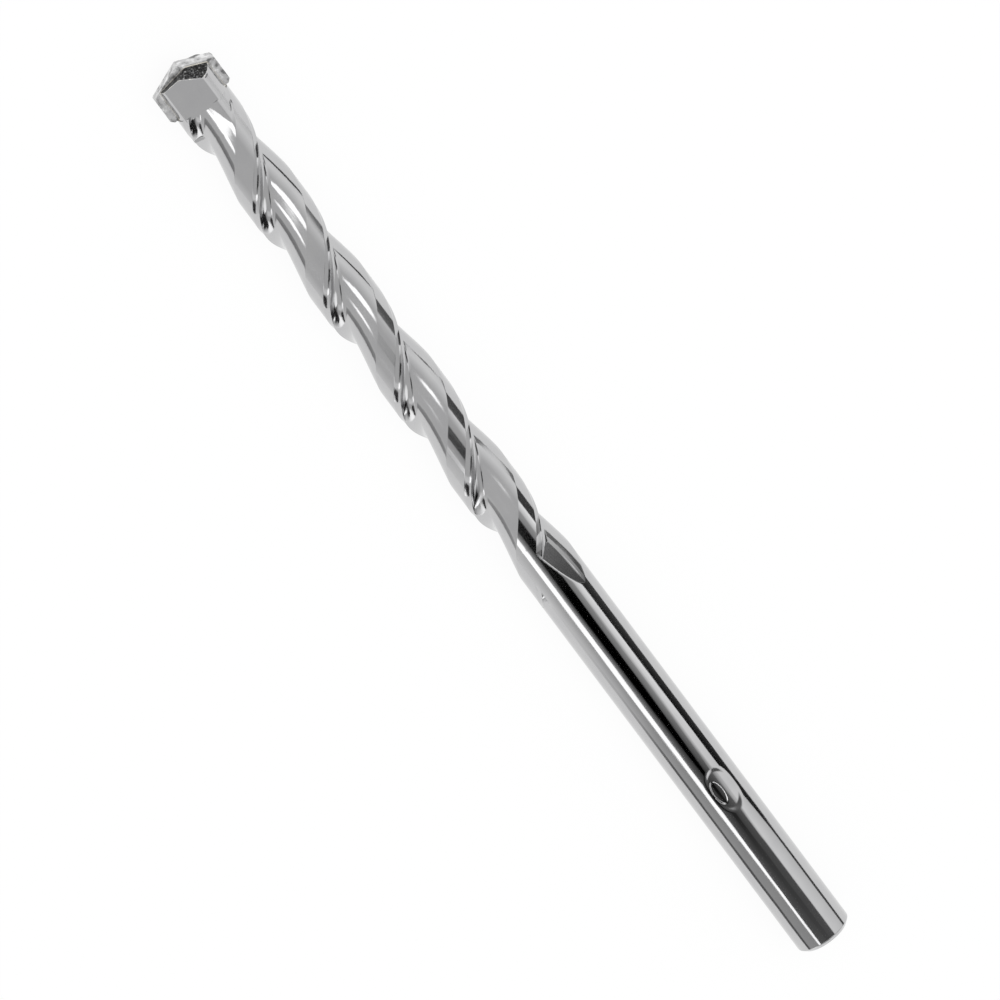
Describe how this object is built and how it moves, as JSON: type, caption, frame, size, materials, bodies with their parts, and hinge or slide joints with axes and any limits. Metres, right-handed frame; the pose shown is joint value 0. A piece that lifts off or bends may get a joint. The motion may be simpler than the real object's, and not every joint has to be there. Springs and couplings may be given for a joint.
{
  "type": "masonry drill bit",
  "caption": "Masonry drill bit: round shank with a side dimple, right-hand twist flutes that run out into the shank, and a brazed carbide plate for its point.",
  "frame": {"origin": "centre of the shank's flat end, on the drill axis", "axes": "+X along the drill axis to the point; Y along the width of the tip plate; +Z out of the plate's broad face, on the side of the dimple in the shank, and up at rest"},
  "size_m": [0.1016, 0.0064, 0.0054],
  "materials": {
    "body_steel": "bright polished steel with fine drawing lines on the shank",
    "tip_carbide": "ground grey tungsten carbide, satin",
    "braze": "bright, slightly lumpy braze metal"
  },
  "bodies": {
    "root": {"drill_body": "body_steel", "carbide_tip": "tip_carbide", "braze_seam": "braze"}
  },
  "joints": []
}
